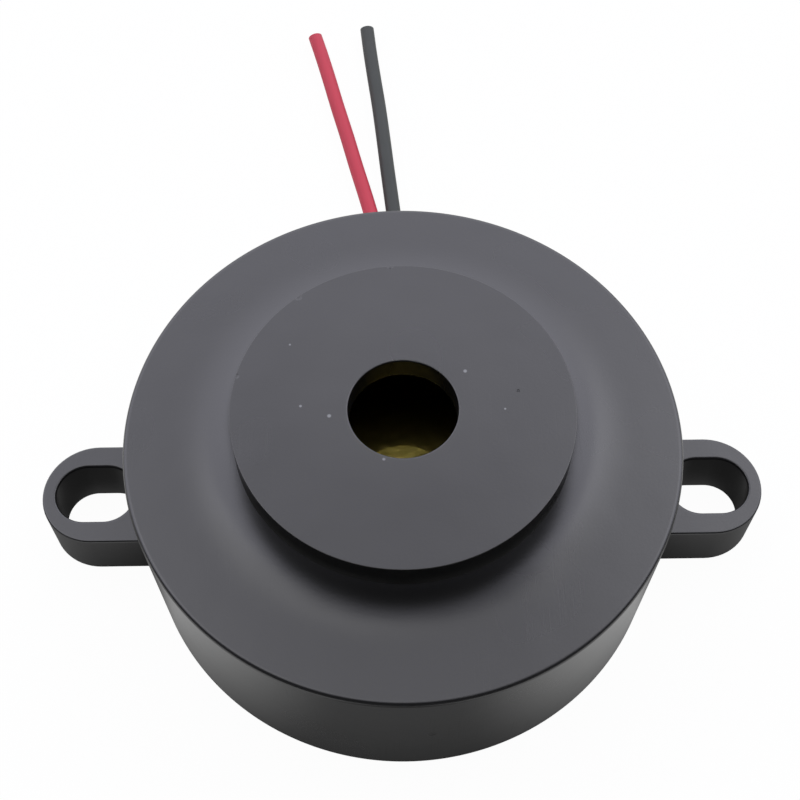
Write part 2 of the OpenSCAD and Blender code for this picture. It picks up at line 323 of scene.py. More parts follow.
@dataclass(frozen=True)
class MouldedAbs(Finish):
    """Black ABS, injection moulded in a fine spark-eroded mould.

    It gives a satin skin: a soft mirror of the room over a black body, with a grain too fine
    to see singly, slow waves where the wall sank, hairlines from handling and a little dust.
    Each spot of dust and each nick is x, y, z and radius.
    """

    colour: str = "#131311"
    dust_colour: str = "#747576"
    roughness: float = 0.28
    flow_change: float = 0.03
    rub_change: float = 0.03
    ior: float = 1.53
    specular: float = 0.75
    grain_mm: float = 0.22
    grain_depth: float = 0.012
    flow_mm: float = 9.0
    wave_mm: float = 4.0
    wave_depth: float = 0.03
    hairline_mm: Span = (0.1, 5.0)
    hairline_turn: float = 14.0
    hairline_peak: Span = (0.66, 0.76)
    hairline_depth: float = -0.0009
    patch_mm: float = 7.0
    patch_peak: Span = (0.5, 0.62)
    nick_depth: float = -0.06
    dust: tuple[Spot, ...] = ()
    nicks: tuple[Spot, ...] = ()

    def spots(self, tree: NodeTree, place: Node, spots: Sequence[Spot]) -> Node | float:
        """Draws round spots that are 1 in the middle and 0 outside.

        Formula: the largest, over all spots, of a value that falls from 1 at half the radius
        to 0 at the radius.

        Args:
            tree: the material's nodes.
            place: the place on the object, in millimetres.
            spots: the spots.

        Returns:
            The node that gives the value, or 0 where there are no spots.
        """
        total: Node | float = 0.0
        for x, y, z, radius in spots:
            away = add_node(tree, "VectorMath", (place, (x, y, z)), operation="DISTANCE")
            fall = (away.outputs["Value"], 0.5 * radius, radius, 1.0, 0.0)
            spot = add_node(tree, "MapRange", fall)
            total = add_node(tree, "Math", (total, spot), operation="MAXIMUM")
        return total

    def hairlines(self, tree: NodeTree, place: Node) -> Node:
        """Draws thin rubs in a few patches.

        Formula: the peaks of a noise stretched along one direction, times those of a broad one.

        Args:
            tree: the material's nodes.
            place: the place on the object, in millimetres.

        Returns:
            The node that gives 1 in a rub and 0 outside.
        """
        width, length = self.hairline_mm
        turned = {
            "Vector": place,
            "Rotation": (0, 0, math.radians(self.hairline_turn)),
            "Scale": (1 / width, 1 / length, 1 / length),
        }
        lines = {"Vector": add_node(tree, "Mapping", turned), "Scale": 1.0, "Detail": 0.0}
        cloud = {"Vector": place, "Scale": 1 / self.patch_mm, "Detail": 0.0}
        peaks = [
            add_node(tree, "MapRange", (add_node(tree, "TexNoise", noise), *peak))
            for noise, peak in ((lines, self.hairline_peak), (cloud, self.patch_peak))
        ]
        return add_node(tree, "Math", peaks, operation="MULTIPLY")

    def look(self, tree: NodeTree, place: Node) -> Look:
        """Grain, waves and rubs as relief, flow and rubs as roughness, and dust as a pale colour.

        Args:
            tree: the material's nodes.
            place: the place on the object, in millimetres.

        Returns:
            What the shader is made of.
        """
        grain, wave, flow = (
            add_node(tree, "TexNoise", {"Vector": place, "Scale": 1 / size, "Detail": detail})
            for size, detail in ((self.grain_mm, 2.0), (self.wave_mm, 1.0), (self.flow_mm, 1.0))
        )
        rubs = self.hairlines(tree, place)
        low, high = self.roughness - self.flow_change, self.roughness + self.flow_change
        satin = add_node(tree, "MapRange", (flow, 0.0, 1.0, low, high))
        dull = add_node(tree, "Math", (rubs, self.rub_change, satin), operation="MULTIPLY_ADD")
        relief = (
            (grain, 0.3, self.grain_depth),
            (wave, 1.0, self.wave_depth),
            (rubs, 1.0, self.hairline_depth),
            (self.spots(tree, place, self.nicks), 1.0, self.nick_depth),
        )
        sockets = {"Roughness": dull, "IOR": self.ior, "Specular IOR Level": self.specular}
        dust = self.spots(tree, place, self.dust)
        return Look((self.colour, self.dust_colour), relief, sockets, dust)


@dataclass(frozen=True)
class CuredSilicone(Finish):
    """Translucent white silicone sealant, cured from a bead: soft, matt and faintly wavy."""

    colour: str = "#d9dad6"
    wave_mm: float = 1.5
    wave_depth: float = 0.05

    def look(self, tree: NodeTree, place: Node) -> Look:
        """A milky body with slow waves left by the nozzle."""
        wave = add_node(tree, "TexNoise", {"Vector": place, "Scale": 1 / self.wave_mm})
        return Look([self.colour], [(wave, 0.4, self.wave_depth)], {"Roughness": 0.5, "IOR": 1.41})


@dataclass(frozen=True)
class RolledBrass(Finish):
    """Half-hard brass sheet, rolled and punched.

    It gives a yellow metal, streaked along the roll and a little tarnished.
    """

    fresh: str = "#e2cf72"
    tarnished: str = "#c2a94f"
    roughness: Span = (0.26, 0.4)
    streak_mm: Span = (4.0, 0.1)
    dimple_mm: float = 0.7
    dimple_depth: float = 0.05
    tarnish_mm: float = 2.5

    def look(self, tree: NodeTree, place: Node) -> Look:
        """Streaks change the roughness, slow clouds the colour, and dimples break the mirror.

        Args:
            tree: the material's nodes.
            place: the place on the object, in millimetres.

        Returns:
            What the shader is made of.
        """
        scale = (1 / self.streak_mm[0], 1 / self.streak_mm[1], 1)
        stretched = add_node(tree, "Mapping", {"Vector": place, "Scale": scale})
        streaks = add_node(tree, "TexNoise", {"Vector": stretched, "Scale": 1.0, "Detail": 3.0})
        rough = add_node(tree, "MapRange", (streaks, 0.0, 1.0, *self.roughness))
        cloud = add_node(tree, "TexNoise", {"Vector": place, "Scale": 1 / self.tarnish_mm})
        noise = {"Vector": place, "Scale": 1 / self.dimple_mm, "Detail": 1.0}
        relief = [(add_node(tree, "TexNoise", noise), 1.0, self.dimple_depth)]
        sockets = {"Metallic": 1.0, "Roughness": rough}
        return Look((self.fresh, self.tarnished), relief, sockets, cloud)


@dataclass(frozen=True)
class SilveredCeramic(Finish):
    """Silver paste, screen printed on the ceramic and fired.

    It gives a pale, matt metal with the screen's fine grain.
    """

    colour: str = "#dcdcd4"
    tarnish: str = "#cbc6a8"
    mesh_mm: float = 0.1
    mesh_depth: float = 0.01
    tarnish_mm: float = 4.0

    def look(self, tree: NodeTree, place: Node) -> Look:
        """The screen's grain as relief, and a faint yellow tarnish in slow clouds.

        Args:
            tree: the material's nodes.
            place: the place on the object, in millimetres.

        Returns:
            What the shader is made of.
        """
        grain, cloud = (
            add_node(tree, "TexNoise", {"Vector": place, "Scale": 1 / size})
            for size in (self.mesh_mm, self.tarnish_mm)
        )
        sockets = {"Metallic": 0.9, "Roughness": 0.48}
        return Look((self.colour, self.tarnish), [(grain, 0.5, self.mesh_depth)], sockets, cloud)


@dataclass(frozen=True)
class SolderMaskedLaminate(Finish):
    """Glass-epoxy laminate under green solder mask.

    It gives a glossy green with raised tracks and the cloth's weave. Each track is its
    middle x, y and its half sizes.
    """

    mask: str = "#2f6b3b"
    over_copper: str = "#4b9355"
    bundle_mm: float = 0.5
    weave_depth: float = 0.004
    copper_depth: float = 0.035
    tracks: tuple[Spot, ...] = ()

    def look(self, tree: NodeTree, place: Node) -> Look:
        """Tracks are rectangles, where |place - middle| is less than the half size both ways.

        The weave is the product of two waves a glass bundle apart, along X and along Y.

        Args:
            tree: the material's nodes.
            place: the place on the object, in millimetres.

        Returns:
            What the shader is made of.
        """
        copper: Node | float = 0.0
        for x, y, *half in self.tracks:
            offset = add_node(tree, "VectorMath", (place, (x, y, 0)), operation="SUBTRACT")
            size = add_node(tree, "VectorMath", (offset,), operation="ABSOLUTE")
            parts = add_node(tree, "SeparateXYZ", (size,)).outputs
            inside = [
                add_node(tree, "Math", (parts[k], half[k]), operation="LESS_THAN") for k in (0, 1)
            ]
            track = add_node(tree, "Math", inside, operation="MULTIPLY")
            copper = add_node(tree, "Math", (copper, track), operation="MAXIMUM")
        turns = {0: place, "Scale": math.tau / self.bundle_mm}
        scaled = add_node(tree, "VectorMath", turns, operation="SCALE")
        sines = add_node(tree, "VectorMath", (scaled,), operation="SINE")
        waves = add_node(tree, "SeparateXYZ", (sines,)).outputs
        weave = add_node(tree, "Math", (waves["X"], waves["Y"]), operation="MULTIPLY")
        relief = ((weave, 0.5, self.weave_depth), (copper, 1.0, self.copper_depth))
        sockets = {"Roughness": 0.3, "IOR": 1.55}
        return Look((self.mask, self.over_copper), relief, sockets, copper)


class Axis(Enum):
    """A direction along the board."""

    X = 0
    Y = 1


@dataclass(frozen=True)
class TerminatedPart(Finish):
    """A chip or a moulded package whose ends, along one axis, are plated with bright tin.

    The body is fired ceramic, glaze or filled epoxy: matt, with a fine grain of its own.
    """

    colour: str
    axis: Axis
    middle: float
    half: float
    roughness: float
    plating: str = "#c9cbcd"
    grain_mm: float = 0.15
    grain_depth: float = 0.01

    @classmethod
    def on(
        cls, node: str, kind: str, colour: str, axis: Axis, plated: float, roughness: float
    ) -> TerminatedPart:
        """Makes the finish of one part from its node's box.

        Args:
            node: the part's node.
            kind: the body's material, which starts the finish's name.
            colour: the body's colour.
            axis: the axis that runs from one end to the other.
            plated: how far the plating reaches in from each end.
            roughness: the body's roughness.

        Returns:
            The finish.
        """
        low, high = (corner[axis.value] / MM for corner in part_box(node))
        middle, half = (low + high) / 2, (high - low) / 2 - plated
        return cls(f"{kind}_{node}", colour, axis, middle, half, roughness)

    def shade(self, tree: NodeTree, place: Node) -> Node:
        """Mixes the body with the plating, which starts at the half length from the middle.

        Args:
            tree: the material's nodes.
            place: the place on the object, in millimetres.

        Returns:
            The shader.
        """
        along = add_node(tree, "SeparateXYZ", (place,)).outputs[self.axis.name]
        offset = add_node(tree, "Math", (along, self.middle), operation="SUBTRACT")
        size = add_node(tree, "Math", (offset,), operation="ABSOLUTE")
        end = add_node(tree, "Math", (size, self.half), operation="GREATER_THAN")
        grain = add_node(tree, "TexNoise", {"Vector": place, "Scale": 1 / self.grain_mm})
        bump = {"Height": grain, "Strength": 0.4, "Distance": self.grain_depth * MM}
        normal = add_node(tree, "Bump", bump)
        body = {"Base Color": srgb(self.colour), "Roughness": self.roughness}
        tin = {"Base Color": srgb(self.plating), "Roughness": 0.3, "Metallic": 1.0}
        skins = (
            add_node(tree, "BsdfPrincipled", {"Normal": normal, **skin}) for skin in (body, tin)
        )
        return add_node(tree, "MixShader", (end, *skins))


@dataclass(frozen=True)
class ExtrudedPvc(Finish):
    """Soft PVC insulation, drawn through a die: satin, with faint lines along the wire.

    The colour clouds a little where the compound is uneven. On a lead the lines follow its
    own UV map, which counts millimetres round and along it.
    """

    colour: str
    cloud: str
    roughness: float = 0.5
    line_change: float = 0.06
    specular: float = 0.25
    line_mm: Span = (0.14, 7.0)
    line_depth: float = 0.02
    cloud_mm: float = 3.0
    diameter: float | None = None

    def along(self, tree: NodeTree) -> Node:
        """Rolls the UV map up again, so that the lines meet where it closes.

        Formula: (r cos a, r sin a, v) with a = u / r, each divided by the size of a line.

        Args:
            tree: the material's nodes.

        Returns:
            The node that gives the place in the lines.
        """
        parts = add_node(tree, "SeparateXYZ", (add_node(tree, "UVMap", uv_map="wrap"),)).outputs
        radius = self.diameter / 2
        turn = add_node(tree, "Math", (parts["X"], 1 / radius), operation="MULTIPLY")
        across, back = (
            add_node(tree, "Math", (turn,), operation=wave) for wave in ("COSINE", "SINE")
        )
        rolled = add_node(tree, "CombineXYZ", (across, back, parts["Y"]))
        width, length = self.line_mm
        scale = (radius / width, radius / width, 1 / length)
        return add_node(tree, "Mapping", {"Vector": rolled, "Scale": scale})

    def look(self, tree: NodeTree, place: Node) -> Look:
        """Die lines as relief and roughness, and clouds in the colour.

        Args:
            tree: the material's nodes.
            place: the place on the object, in millimetres.

        Returns:
            What the shader is made of.
        """
        if self.diameter:
            where = self.along(tree)
        else:
            fine = {0: place, "Scale": 1 / self.line_mm[0]}
            where = add_node(tree, "VectorMath", fine, operation="SCALE")
        lines = add_node(tree, "TexNoise", {"Vector": where, "Scale": 1.0})
        noise = {"Vector": place, "Scale": 1 / self.cloud_mm, "Detail": 1.0}
        clouds = add_node(tree, "TexNoise", noise)
        low, high = self.roughness - self.line_change, self.roughness + self.line_change
        sockets = {
            "Roughness": add_node(tree, "MapRange", (lines, 0.0, 1.0, low, high)),
            "IOR": 1.53, "Specular IOR Level": self.specular,
        }
        return Look((self.colour, self.cloud), [(lines, 0.5, self.line_depth)], sockets, clouds)


@dataclass(frozen=True)
class ReflowedSolder(Finish):
    """Tin solder, melted and frozen: bright grey, faintly frosted in grains."""

    colour: str = "#c3c5c8"
    roughness: Span = (0.18, 0.4)
    grain_mm: float = 0.25
    grain_depth: float = 0.01

    def look(self, tree: NodeTree, place: Node) -> Look:
        """Frozen grains as cells, each with its own roughness, and their edges as relief.

        Args:
            tree: the material's nodes.
            place: the place on the object, in millimetres.

        Returns:
            What the shader is made of.
        """
        cells = {"Vector": place, "Scale": 1 / self.grain_mm}
        grains = add_node(tree, "TexVoronoi", cells).outputs["Distance"]
        rough = add_node(tree, "MapRange", (grains, 0.0, 1.0, *self.roughness))
        sockets = {"Metallic": 1.0, "Roughness": rough}
        return Look([self.colour], [(grains, 1.0, self.grain_depth)], sockets)


@dataclass(frozen=True)
class TinnedCopper(Finish):
    """Drawn copper strands under a thin coat of tin: warm grey metal with patches of thin tin."""

    tin: str = "#c9c2b4"
    copper: str = "#c49a78"
    patch_mm: float = 0.5
    patch_depth: float = 0.01
    patch_peak: Span = (0.5, 0.7)

    def look(self, tree: NodeTree, place: Node) -> Look:
        """The tin's colour with a little copper where the coat is thin.

        Args:
            tree: the material's nodes.
            place: the place on the object, in millimetres.

        Returns:
            What the shader is made of.
        """
        thin = add_node(tree, "TexNoise", {"Vector": place, "Scale": 1 / self.patch_mm})
        share = add_node(tree, "MapRange", (thin, *self.patch_peak))
        sockets = {"Metallic": 1.0, "Roughness": 0.3}
        return Look((self.tin, self.copper), [(thin, 0.4, self.patch_depth)], sockets, share)


# ---------------------------------------------------------------- housing


@dataclass
class MouldedHousing:
    """The black moulding: drum, flared disc with its port, seat ring, ribs and two ears.

    A name that ends in r is a radius, ri an inner radius, t a thickness, w a width, and x or
    z a place. from_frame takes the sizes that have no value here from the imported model.
    """

    finish: Finish
    drum_r: float
    crown_z: float
    tip_x: float
    slot_x: float
    slot_r: float
    slot_half: float
    ear_t: float
    seat_z: float
    rib_z: float
    rib_ri: float
    disc_rise: float = 3.8
    wall_t: float = 1.6
    top_t: float = 2.0
    rim_round: float = 0.35
    draft: float = 0.1
    base_round: float = 0.05
    disc_r: float = 12.7
    flare_w: float = 6.0
    flare_h: float = 1.2
    flare_steps: int = 40
    disc_round: float = 0.05
    disc_t: float = 2.0
    port_r: float = 4.05
    port_round: float = 0.12
    seat_ri: float = 15.9
    seat_w: float = 1.6
    shoulder_w: float = 0.5
    rebate_z: float = 1.4
    ear_r: float = 4.3
    ear_root: float = 0.62
    ear_round: float = 0.16
    ear_steps: int = 32
    slot_round: float = 0.2
    brass_gap: float = 0.2
    rib_w: float = 1.4
    rib_step: float = 0.5
    rib_sink: float = 0.3
    rib_angles: Point = (30.0, 150.0, 270.0)
    notch_w: float = 3.1
    notch_z: float = 2.9
    notch_spare: float = 1.0
    turns: int = 288

    @classmethod
    def from_frame(cls, finish: Finish) -> MouldedHousing:
        """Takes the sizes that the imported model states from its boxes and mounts.

        Args:
            finish: the housing's finish.

        Returns:
            The housing, not yet built.
        """
        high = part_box("housing")[1] / MM
        slots = next(m for m in frame["record"]["mounts"] if m["name"] == "ear_slots")
        dims = slots["dims"]
        return cls(
            finish=finish,
            drum_r=high.y,
            crown_z=high.z,
            tip_x=high.x,
            slot_x=dims["spacing_x_mm"] / 2,
            slot_r=dims["hole_r_mm"],
            slot_half=dims["slot_length_mm"] / 2 - dims["hole_r_mm"],
            ear_t=slots["pos_m"][2] / MM,
            seat_z=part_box("seat_bead")[1].z / MM,
            rib_z=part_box("circuit_board")[1].z / MM,
            rib_ri=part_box("brass_disc")[1].x / MM + cls.brass_gap,
        )

    def section(self) -> np.ndarray:
        """Half section (r, z) of the drum, anticlockwise: straight runs and quarter rounds.

        The wall leans out by the draft at the rim and in by as much at the base. Formula of
        the flare: at the share i of its width inwards, it rises by flare_h i^4.

        Returns:
            The section's points, one row each.
        """
        top = self.crown_z - self.disc_rise
        plate, roof = top - self.top_t, self.crown_z - self.disc_t
        inner, chamber = self.drum_r - self.wall_t, self.disc_r - self.disc_t
        shoulder, seat_ro = inner + self.shoulder_w, self.seat_ri + self.seat_w
        base, rim, crown, port = self.base_round, self.rim_round, self.disc_round, self.port_round
        inward = np.sqrt(np.linspace(0, 1, self.flare_steps + 1))
        flare = [self.disc_r + self.flare_w * (1 - inward), top + self.flare_h * inward**4]
        return held(np.concatenate([
            [[shoulder, 0]],
            quarter((self.drum_r - self.draft - base, base), base, -90),
            quarter((self.drum_r + self.draft - rim, top - rim), rim, 0),
            np.column_stack(flare),
            quarter((self.disc_r - crown, self.crown_z - crown), crown, 0),
            quarter((self.port_r + port, self.crown_z - port), port, 90),
            [[self.port_r, roof], [chamber, roof], [chamber, plate], [self.seat_ri, plate]],
            [[self.seat_ri, self.seat_z], [seat_ro, self.seat_z], [seat_ro, plate]],
            [[inner, plate], [inner, self.rebate_z], [shoulder, self.rebate_z]],
        ]))

    def drum(self) -> Object:
        """Turns the section about the body axis.

        Formula: the point (r, z) of the section at angle a is (r cos a, r sin a, z).

        Returns:
            The drum.
        """
        r, z = self.section().T[:, :, None]
        a = np.linspace(0, 2 * np.pi, self.turns, endpoint=False)[None, :]
        points = np.stack([r * np.cos(a), r * np.sin(a), z + 0 * a], axis=-1)
        return new_piece("housing_shell", points, wrapped_faces(*points.shape[:2]))

    def ear(self, side: int) -> Object:
        """One ear with its slot, as a ring that is closed round the slot and round its section.

        Formula: each row lies at the height z on the outline (1 - w) slot(grow) + w tongue(grow).
        The slot is a stadium: centre + end + (slot_r + grow) (cos a, sin a). The tongue is
        a half circle of radius ear_r - grow at the tip and a straight root in the wall.

        Args:
            side: 1 for the ear at +X, -1 for the one at -X, which is turned half round.

        Returns:
            The ear.
        """
        arcs = [np.linspace(start, start + 180, self.ear_steps + 1) for start in (-90, 90)]
        a = np.radians(np.concatenate(arcs))
        end = np.repeat([1.0, -1.0], self.ear_steps + 1)
        root_x = self.drum_r - self.ear_root * self.wall_t
        top, slot_top = self.ear_t - self.ear_round, self.ear_t - self.slot_round
        b = np.radians(np.linspace(0, 90, ROUND_STEPS + 1))
        out, up = 1 - np.cos(b), np.sin(b)
        outer = np.stack([0 * b + 1, self.ear_round * out, top + self.ear_round * up], 1)
        mouth = np.stack([0 * b, self.slot_round * out, slot_top + self.slot_round * up], 1)
        face = [[0.97, 0, self.ear_t], [0.03, 0, self.ear_t]]
        foot = [[1, 0, 0], [1, 0, HOLD], [1, 0, top - HOLD]]
        throat = [[0, 0, slot_top - HOLD], [0, 0, HOLD], [0, 0, 0]]
        rows = np.concatenate([foot, outer, face, mouth[::-1], throat])
        blend, grow, z = rows.T[:, :, None]
        tongue_r = self.ear_r - np.where(blend == 1, grow, self.ear_round)
        slot_r = self.slot_r + np.where(blend == 0, grow, self.slot_round)
        tip_x = self.tip_x - self.ear_r + tongue_r * np.cos(a)
        slot_x = self.slot_x + end * self.slot_half + slot_r * np.cos(a)
        x = blend * np.where(end > 0, tip_x, root_x) + (1 - blend) * slot_x
        y = (blend * tongue_r + (1 - blend) * slot_r) * np.sin(a)
        points = np.stack([side * x, side * y, z + 0 * x], axis=-1)
        return new_piece("ear", points, wrapped_faces(*points.shape[:2]))

    def rib(self, degrees: float) -> Object:
        """One rib between the seat ring and the wall, which stops the board.

        Formula: the outline's point (r, z) at w to either side is r outwards and w across,
        turned about the body axis by the rib's angle.

        Args:
            degrees: the rib's angle about the body axis.

        Returns:
            The rib.
        """
        plate = self.crown_z - self.disc_rise - self.top_t + self.rib_sink
        wall, back = self.drum_r - self.wall_t + self.rib_sink, self.rib_ri - self.rib_step
        outline = np.array([
            [self.rib_ri, self.rib_z], [wall, self.rib_z], [wall, plate],
            [back, plate], [back, self.seat_z], [self.rib_ri, self.seat_z],
        ])
        across = np.array([-0.5, 0.5])[:, None] * self.rib_w
        r, z = outline.T[:, None, :]
        turn = math.radians(degrees)
        x = r * math.cos(turn) - across * math.sin(turn)
        y = r * math.sin(turn) + across * math.cos(turn)
        points = np.stack([x, y, z + 0 * x], axis=-1)
        return new_piece("rib", points, wrapped_faces(2, len(outline), closed=False))

    def notch(self) -> Object:
        """The block that cuts the leads' way out of the wall, from inside to outside.

        Formula: its four corners (x, y), repeated at its lower and its upper height.

        Returns:
            The block.
        """
        half, spare = self.notch_w / 2, self.notch_spare
        inside, outside = self.drum_r - self.wall_t - spare, self.drum_r + spare
        ring = [[-half, inside], [half, inside], [half, outside], [-half, outside]]
        points = np.stack([np.column_stack([ring, np.full(4, z)]) for z in (-spare, self.notch_z)])
        return new_piece("notch", points, wrapped_faces(2, 4, closed=False))

    def build(self) -> Object:
        """Joins drum, ears and ribs, cuts the lead notch and dresses the shell.

        Returns:
            The shell.
        """
        shell = self.drum()
        for side in (1, -1):
            combine(shell, self.ear(side), Cut.ADD)
        for degrees in self.rib_angles:
            combine(shell, self.rib(degrees), Cut.ADD)
        combine(shell, self.notch(), Cut.TAKE_AWAY)
        smooth_by_angle(shell, 30)
        shell.data.materials.clear()
        shell.data.materials.append(self.finish.material())
        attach(shell, BODY)
        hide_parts("housing")
        return shell


# ---------------------------------------------------------------- leads


@dataclass
class FlyingLead:
    """One stranded lead: its insulation tube and the seven strands at its cut end."""

    colour: str
    route: Sequence[Point]
    exit_point: Point
    finish: Finish
    core_finish: Finish
    diameter: float = 1.4
    core_d: float = 0.6
    strand_d: float = 0.2
    lay_mm: float = 9.0
    strand_inset: Span = (0.02, 0.03)
    bore_depth: float = 1.2
    lip: float = 0.04
    lean: float = 0.35
    lean_from: Span = (1.5, 0.5)
    sides: int = 28
    rings: int = 170
    strand_sides: int = 10
    strand_rings: int = 7
    curve_steps: int = 8

    def centreline(self) -> np.ndarray:
        """One smooth curve through the route's points.

        Formula: a Catmull-Rom spline. Between b and c, with neighbours a and d, the place
        at t is (2b + (c - a) t + (2a - 5b + 4c - d) t^2 + (3b - a - 3c + d) t^3) / 2.

        Returns:
            The curve's points, one row each.
        """
        route = np.asarray(self.route, float)
        padded = np.vstack([2 * route[0] - route[1], route, 2 * route[-1] - route[-2]])
        a, b, c, d = (padded[at : len(route) - 1 + at, None, :] for at in range(4))
        t = np.linspace(0, 1, self.curve_steps, endpoint=False)[None, :, None]
        bend, twist = 2 * a - 5 * b + 4 * c - d, 3 * b - a - 3 * c + d
        curve = 2 * b + (c - a) * t + bend * t**2 + twist * t**3
        return np.vstack([curve.reshape(-1, 3) / 2, route[-1]])

    def along(self, distance: np.ndarray) -> tuple[np.ndarray, np.ndarray, np.ndarray]:
        """Finds where the lead is, and which way it faces, at distances along it.

        Formula: the centre is interpolated by arc length, the direction t is its slope, the
        sideways direction is up x t made of unit length, and the third is t x sideways.

        Args:
            distance: the distances from the lead's start.

        Returns:
            Centre, sideways and upward directions, one row for each distance.
        """
        line = self.centreline()
        run = np.concatenate([[0], np.cumsum(np.linalg.norm(np.diff(line, axis=0), axis=1))])
        slope = np.gradient(line, run, axis=0)
        centre, tangent = (
            np.column_stack([np.interp(distance, run, of[:, k]) for k in range(3)])
            for of in (line, slope)
        )
        tangent /= np.linalg.norm(tangent, axis=1, keepdims=True)
        sideways = np.cross([0.0, 0.0, 1.0], tangent)
        sideways /= np.linalg.norm(sideways, axis=1, keepdims=True)
        return centre, sideways, np.cross(tangent, sideways)

    @property
    def length(self) -> float:
        """The lead's length along its middle."""
        return float(np.linalg.norm(np.diff(self.centreline(), axis=0), axis=1).sum())

    def tube(self) -> Object:
        """Carries a circle along the lead and turns it in at the cut end, which leans back.

        Formula: row i lies at distance s_i with radius r_i, at centre(s_i) +
        r_i (cos a sideways + sin a up). The last rows go back into the bore, and the rows
        near the end are set back by lean (1 + sin a) / 2 along the lead.

        Returns:
            The tube, with its UV map.
        """
        end, radius, core = self.length, self.diameter / 2, self.core_d / 2
        run = np.linspace(self.lip, end - self.lip, self.rings)
        start = [[0, radius - self.lip]]
        stop = [[end, radius - self.lip], [end, core], [end - self.bore_depth, core]]
        wall = np.column_stack([run, np.full_like(run, radius)])
        s, r = np.vstack([start, wall, stop]).T
        centre, sideways, up = (v[:, None, :] for v in self.along(s))
        a = np.linspace(0, 2 * np.pi, self.sides, endpoint=False)[None, :, None]
        points = centre + r[:, None, None] * (np.cos(a) * sideways + np.sin(a) * up)
        reach = [end - self.lean_from[0], end - self.lean_from[1]]
        near_end = np.interp(s, reach, [0, 1])[:, None, None]
        points -= near_end * self.lean * (1 + np.sin(a)) / 2 * np.cross(sideways, up)
        rows, columns = points.shape[:2]
        faces = wrapped_faces(rows, columns, closed=False)
        piece = new_piece(f"{self.colour}_flying_lead", points, faces)
        smooth_by_angle(piece, 40)
        self.unwrap(piece, s, columns)
        return piece

    def unwrap(self, piece: Object, s: np.ndarray, columns: int) -> None:
        """Adds a UV map in millimetres: u round the lead, v along it.

        Args:
            piece: the tube.
            s: the distance of each of its rows.
            columns: how many points a row has.
        """
        mesh = piece.data
        layer = mesh.uv_layers.new(name="wrap")
        corner = np.zeros(len(mesh.loops), np.int32)
        mesh.loops.foreach_get("vertex_index", corner)
        girth = np.pi * self.diameter
        u = (corner % columns) / columns * girth
        first, total = np.zeros((2, len(mesh.polygons)), np.int32)
        mesh.polygons.foreach_get("loop_start", first)
        mesh.polygons.foreach_get("loop_total", total)
        face_u = np.repeat(np.maximum.reduceat(u, first), total)
        u = np.where((face_u - u > girth / 2) & (np.repeat(total, total) == 4), u + girth, u)
        layer.data.foreach_set("uv", np.column_stack([u, s[corner // columns]]).ravel())

    def strands(self) -> Object:
        """Seven tinned strands in the bore, one in the middle and six laid round it.

        Formula: strand k has its middle at centre(s) + c_k (cos q sideways + sin q up) with
        q = 60 degrees k + twist s, and carries a circle of the strand's radius.

        Returns:
            The strands, as one piece.
        """
        end, strand_r = self.length, self.strand_d / 2
        inner, outer = self.strand_inset
        s = np.linspace(end - self.bore_depth + inner, end - outer, self.strand_rings)
        centre, sideways, up = (v[None, :, None, :] for v in self.along(s))
        ring = np.array([0.0, 1, 1, 1, 1, 1, 1])[:, None, None, None] * self.strand_d
        twist = np.radians(360 / self.lay_mm)
        turn = (np.radians(60) * np.arange(7)[:, None] + twist * s[None, :])[:, :, None, None]
        a = np.linspace(0, 2 * np.pi, self.strand_sides, endpoint=False)[None, None, :, None]
        across = ring * np.cos(turn) + strand_r * np.cos(a)
        upward = ring * np.sin(turn) + strand_r * np.sin(a)
        points = centre + across * sideways + upward * up
        count, rows, columns = points.shape[:3]
        single = wrapped_faces(rows, columns, closed=False)
        starts = range(0, count * rows * columns, rows * columns)
        faces = [[start + point for point in face] for start in starts for face in single]
        piece = new_piece(f"{self.colour}_cut_strands", points, faces)
        smooth_by_angle(piece, 40)
        return piece

    def build(self) -> Object:
        """Returns:
            The tube.
        """
        tube, strands = self.tube(), self.strands()
        tube.data.materials.append(self.finish.material())
        strands.data.materials.append(self.core_finish.material())
        for piece, slot in ((tube, f"{self.colour}_insulation"), (strands, "tinned_copper")):
            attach(piece, BODY)
        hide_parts(f"{self.colour}_lead")
        self.length * MM
        return tube


RED_ROUTE: tuple[Point, ...] = (
    (-1.6, 13.6, 3.95), (-1.6, 14.4, 3.95), (-1.55, 15.2, 3.9), (-1.45, 16, 3.65),
    (-1.3, 16.8, 3.2), (-1.1, 17.6, 2.7), (-0.9, 18.4, 2.35), (-0.8, 19.2, 2.15),
    (-0.75, 20, 2.15), (-0.75, 21, 2.15), (-0.8, 22, 2.1), (-0.95, 23.2, 1.85),
    (-1.1, 24.4, 1.5), (-1.3, 25.6, 1.15), (-1.55, 26.8, 0.85), (-1.85, 28.2, 0.72),
    (-2.3, 30.4, 0.72), (-3, 33.4, 0.72), (-3.9, 37, 0.72), (-4.8, 40.8, 0.72),
    (-5.8, 44.8, 0.72), (-6.7, 48.6, 0.72), (-7.5, 51.8, 0.72), (-8.2, 54.4, 0.72),
)
# Up to the exit in the wall, which is the tenth point, the black lead mirrors the red one.
EXIT = 9
BLACK_ROUTE: tuple[Point, ...] = tuple((-x, y, z) for x, y, z in RED_ROUTE[: EXIT + 1]) + (
    (0.7, 22, 2.1), (0.6, 23.2, 1.85), (0.45, 24.4, 1.5), (0.3, 25.6, 1.15),
    (0.15, 26.8, 0.85), (0, 28.2, 0.72), (-0.25, 30.4, 0.72), (-0.55, 33.4, 0.72),
    (-0.9, 37, 0.72), (-1.25, 40.8, 0.72), (-1.65, 44.8, 0.72), (-2.1, 48.6, 0.72),
    (-2.5, 52.2, 0.72), (-2.8, 55.4, 0.72),
)


# ---------------------------------------------------------------- studio


